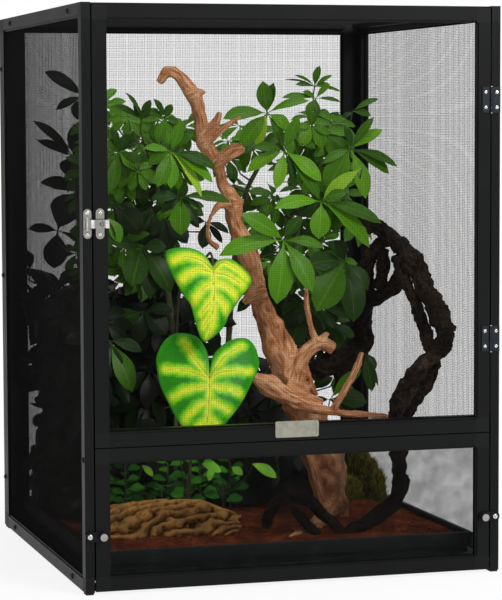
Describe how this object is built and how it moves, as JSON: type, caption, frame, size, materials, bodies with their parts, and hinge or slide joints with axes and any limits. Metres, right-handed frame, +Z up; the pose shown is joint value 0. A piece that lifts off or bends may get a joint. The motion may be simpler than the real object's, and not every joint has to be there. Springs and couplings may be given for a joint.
{
  "type": "screen terrarium",
  "caption": "Upright mesh terrarium with a hinged screen door, a drop-down clear window and a planted tray.",
  "frame": {"origin": "middle of the footprint on the surface the terrarium stands on, under the middle of its box", "axes": "+X to the viewer's right when facing the doors, +Y to the back, +Z up"},
  "size_m": [0.454, 0.4617, 0.6],
  "materials": {
    "frame_aluminium": "satin black anodised",
    "corner_plastic": "moulded, fine grain",
    "foot_rubber": "matt",
    "bead_rubber": "matt",
    "screen_wire": "black coated fine wire",
    "floor_sheet": "black coated sheet",
    "tray_plastic": "leather-grain moulding",
    "coco_soil": "loose fibre",
    "side_screw_steel": "dark zinc",
    "hinge_steel": "dark satin",
    "fastener_steel": "polished",
    "latch_steel": "nickel plated",
    "clip_steel": "zinc plated",
    "thumb_screw_steel": "knurled, plated",
    "door_aluminium": "satin black anodised",
    "key_plastic": "moulded, fine grain",
    "pane_clear": "clear",
    "badge_metal": "bare, brushed",
    "driftwood": "peeled branch with knots",
    "liana_bark": "twisted dark bark",
    "cork": "ridged bark",
    "plant_stem": "green bark",
    "umbrella_leaf": "waxy leaf",
    "heart_leaf": "variegated leaf",
    "ground_leaf": "small leaves",
    "moss": "soft tufts"
  },
  "bodies": {
    "cabinet": {"base_corner_blocks": "corner_plastic", "cabinet_fasteners": "fastener_steel", "cabinet_screws": "side_screw_steel", "cork_bark": "cork", "door_crossbar": "frame_aluminium", "driftwood": "driftwood", "floor_panel": "floor_sheet", "foot_pads": "foot_rubber", "front_base_rail": "frame_aluminium", "front_header_rail": "frame_aluminium", "front_posts": "frame_aluminium", "ground_cover": "ground_leaf", "ground_stems": "plant_stem", "heart_leaves": "heart_leaf", "heart_stalks": "plant_stem", "hinge_post_leaves": "hinge_steel", "latch_base": "latch_steel", "leaf_stalks": "plant_stem", "left_screen": "screen_wire", "liana": "liana_bark", "moss": "moss", "pivot_pins": "fastener_steel", "rear_base_rail": "frame_aluminium", "rear_posts": "frame_aluminium", "rear_screen": "screen_wire", "rear_top_rail": "frame_aluminium", "right_screen": "screen_wire", "screen_beads": "bead_rubber", "side_base_rails": "frame_aluminium", "side_top_rails": "frame_aluminium", "substrate": "coco_soil", "substrate_tray": "tray_plastic", "top_corner_blocks": "corner_plastic", "top_screen": "screen_wire", "top_screen_frame": "frame_aluminium", "umbrella_leaves": "umbrella_leaf", "umbrella_stems": "plant_stem"},
    "upper_door": {"upper_door_bead": "bead_rubber", "upper_door_bottom_rail": "door_aluminium", "upper_door_corner_keys": "key_plastic", "upper_door_left_stile": "door_aluminium", "upper_door_right_stile": "door_aluminium", "upper_door_screen": "screen_wire", "upper_door_top_rail": "door_aluminium", "badge_plate": "badge_metal", "latch_strike": "latch_steel", "hinge_door_leaves": "hinge_steel", "door_fasteners": "fastener_steel"},
    "lower_door": {"lower_door_bottom_rail": "door_aluminium", "lower_door_corner_keys": "key_plastic", "lower_door_left_stile": "door_aluminium", "lower_door_right_stile": "door_aluminium", "lower_door_top_rail": "door_aluminium", "window_pane": "pane_clear", "window_gasket": "bead_rubber"},
    "latch_lever": {"latch_lever": "latch_steel"},
    "turn_clip_left": {"turn_clip_left": "clip_steel"},
    "turn_clip_right": {"turn_clip_right": "clip_steel"},
    "thumb_screw_left": {"thumb_screw_left": "thumb_screw_steel"},
    "thumb_screw_right": {"thumb_screw_right": "thumb_screw_steel"}
  },
  "joints": [
    {"name": "upper_door_hinge", "type": "hinge", "parent": "cabinet", "child": "upper_door", "pos_m": [0.21475, -0.2209, 0.378], "axis": [0, 0, 1], "range_deg": [0, 150]},
    {"name": "latch_lever_pivot", "type": "hinge", "parent": "cabinet", "child": "latch_lever", "pos_m": [-0.22025, -0.2236, 0.378], "axis": [0, 0, -1], "range_deg": [0, 110]},
    {"name": "window_door_hinge", "type": "hinge", "parent": "cabinet", "child": "lower_door", "pos_m": [0, -0.215, 0.0135], "axis": [1, 0, 0], "range_deg": [0, 90]},
    {"name": "turn_clip_left_pivot", "type": "hinge", "parent": "cabinet", "child": "turn_clip_left", "pos_m": [-0.22025, -0.2203, 0.06], "axis": [0, -1, 0], "range_deg": [0, 90]},
    {"name": "turn_clip_right_pivot", "type": "hinge", "parent": "cabinet", "child": "turn_clip_right", "pos_m": [0.22025, -0.2203, 0.06], "axis": [0, 1, 0], "range_deg": [0, 90]},
    {"name": "thumb_screw_left_turn", "type": "hinge", "parent": "lower_door", "child": "thumb_screw_left", "pos_m": [-0.20725, -0.2215, 0.06], "axis": [0, -1, 0], "continuous": true},
    {"name": "thumb_screw_right_turn", "type": "hinge", "parent": "lower_door", "child": "thumb_screw_right", "pos_m": [0.20725, -0.2215, 0.06], "axis": [0, -1, 0], "continuous": true}
  ]
}
